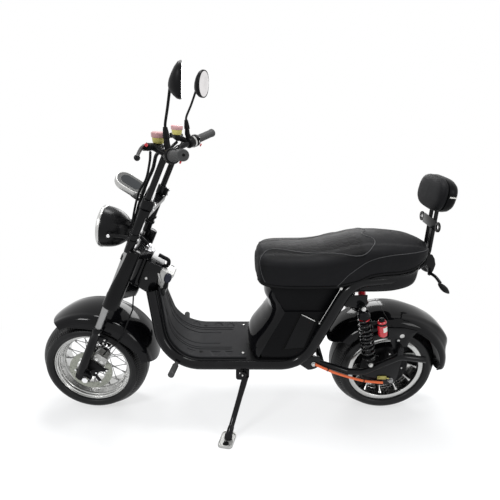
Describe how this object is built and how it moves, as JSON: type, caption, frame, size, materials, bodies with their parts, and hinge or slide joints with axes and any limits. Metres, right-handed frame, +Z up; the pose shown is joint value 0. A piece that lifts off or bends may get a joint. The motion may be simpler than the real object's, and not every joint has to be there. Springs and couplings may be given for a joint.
{
  "type": "fat-tyre electric bike",
  "caption": "Step-through electric bike with fat tyres and a hub motor, leaning on its side stand; steering, wheels, stand and lifting seat move.",
  "frame": {"origin": "floor level under the centre of the parked bike's bounding box", "axes": "+X along the bike to its rear, +Y to its right side, +Z up"},
  "size_m": [1.8509, 0.7368, 1.5126],
  "materials": {
    "frame_black": "semi-gloss black",
    "trim_black": "fine grained black",
    "mat_rubber": "ribbed dark grey",
    "battery_case_block": "sealed block",
    "gloss_black": "deep gloss black",
    "zinc": "yellow zinc",
    "red": "anodised red",
    "lens_red": "red lens",
    "seat_cover": "charcoal with light seams",
    "amber": "smoked lens",
    "grip_rubber": "soft black",
    "cable_orange": "orange sheath",
    "steel": "machined",
    "chrome": "bright plated",
    "pot": "yellow-green pot with a pink cap",
    "lens_clear": "clear",
    "instrument": "silver bezel, grey face",
    "tyre": "satin black",
    "polished": "polished",
    "motor_black": "black cast"
  },
  "bodies": {
    "frame": {"head_neck": "frame_black", "frame_rails": "frame_black", "frame_crossbars": "frame_black", "frame_brackets": "frame_black", "floor_pan": "trim_black", "floor_mat": "mat_rubber", "battery_case": "trim_black", "battery": "battery_case_block", "front_cover": "gloss_black", "side_panels": "trim_black", "lock_panel": "gloss_black", "tail_tray": "trim_black", "swingarm": "frame_black", "axle_adjusters": "zinc", "shock_dampers": "frame_black", "shock_springs": "frame_black", "shock_canisters": "red", "rear_fender": "gloss_black", "fender_stays": "frame_black", "tail_lamp": "lens_red", "backrest_frame": "frame_black", "backrest_pad": "seat_cover", "rear_indicators": "amber", "front_pegs": "grip_rubber", "motor_cable": "cable_orange", "rear_axle": "steel"},
    "steering": {"fork_clamps": "frame_black", "fork_tubes": "chrome", "fork_sliders": "frame_black", "fork_shrouds": "gloss_black", "front_axle": "steel", "front_fender": "gloss_black", "handlebar": "frame_black", "grips": "grip_rubber", "control_clamps": "trim_black", "levers": "frame_black", "reservoirs": "pot", "mirrors": "trim_black", "headlight_shell": "gloss_black", "headlight_lens": "lens_clear", "headlight_bracket": "frame_black", "speedometer": "instrument", "brake_caliper": "steel", "front_brake_hose": "grip_rubber"},
    "front_wheel": {"front_tyre": "tyre", "front_rim": "polished", "front_disc": "steel"},
    "rear_wheel": {"rear_tyre": "tyre", "rear_rim": "polished", "hub_motor": "motor_black"},
    "side_stand": {"side_stand": "frame_black"},
    "seat": {"seat_cushion": "seat_cover", "seat_base": "trim_black"}
  },
  "joints": [
    {"name": "steering_turn", "type": "hinge", "parent": "frame", "child": "steering", "pos_m": [-0.66437, 0.13984, 0.22739], "axis": [0.4226, -0.1261, 0.8975], "range_deg": [-33, 37]},
    {"name": "front_wheel_spin", "type": "hinge", "parent": "steering", "child": "front_wheel", "pos_m": [-0.68701, 0.13923, 0.23797], "axis": [0.0316, 0.9917, 0.1245], "continuous": true},
    {"name": "rear_wheel_spin", "type": "hinge", "parent": "frame", "child": "rear_wheel", "pos_m": [0.63798, 0.13837, 0.23785], "axis": [0, 0.9903, 0.1392], "continuous": true},
    {"name": "side_stand_fold", "type": "hinge", "parent": "frame", "child": "side_stand", "pos_m": [-0.00452, -0.0308, 0.25599], "axis": [-0.1878, -0.9094, 0.3712], "range_deg": [0, 89.93]},
    {"name": "seat_lift", "type": "hinge", "parent": "frame", "child": "seat", "pos_m": [0.07548, 0.07637, 0.67902], "axis": [0, -0.9903, -0.1392], "range_deg": [0, 70]}
  ]
}
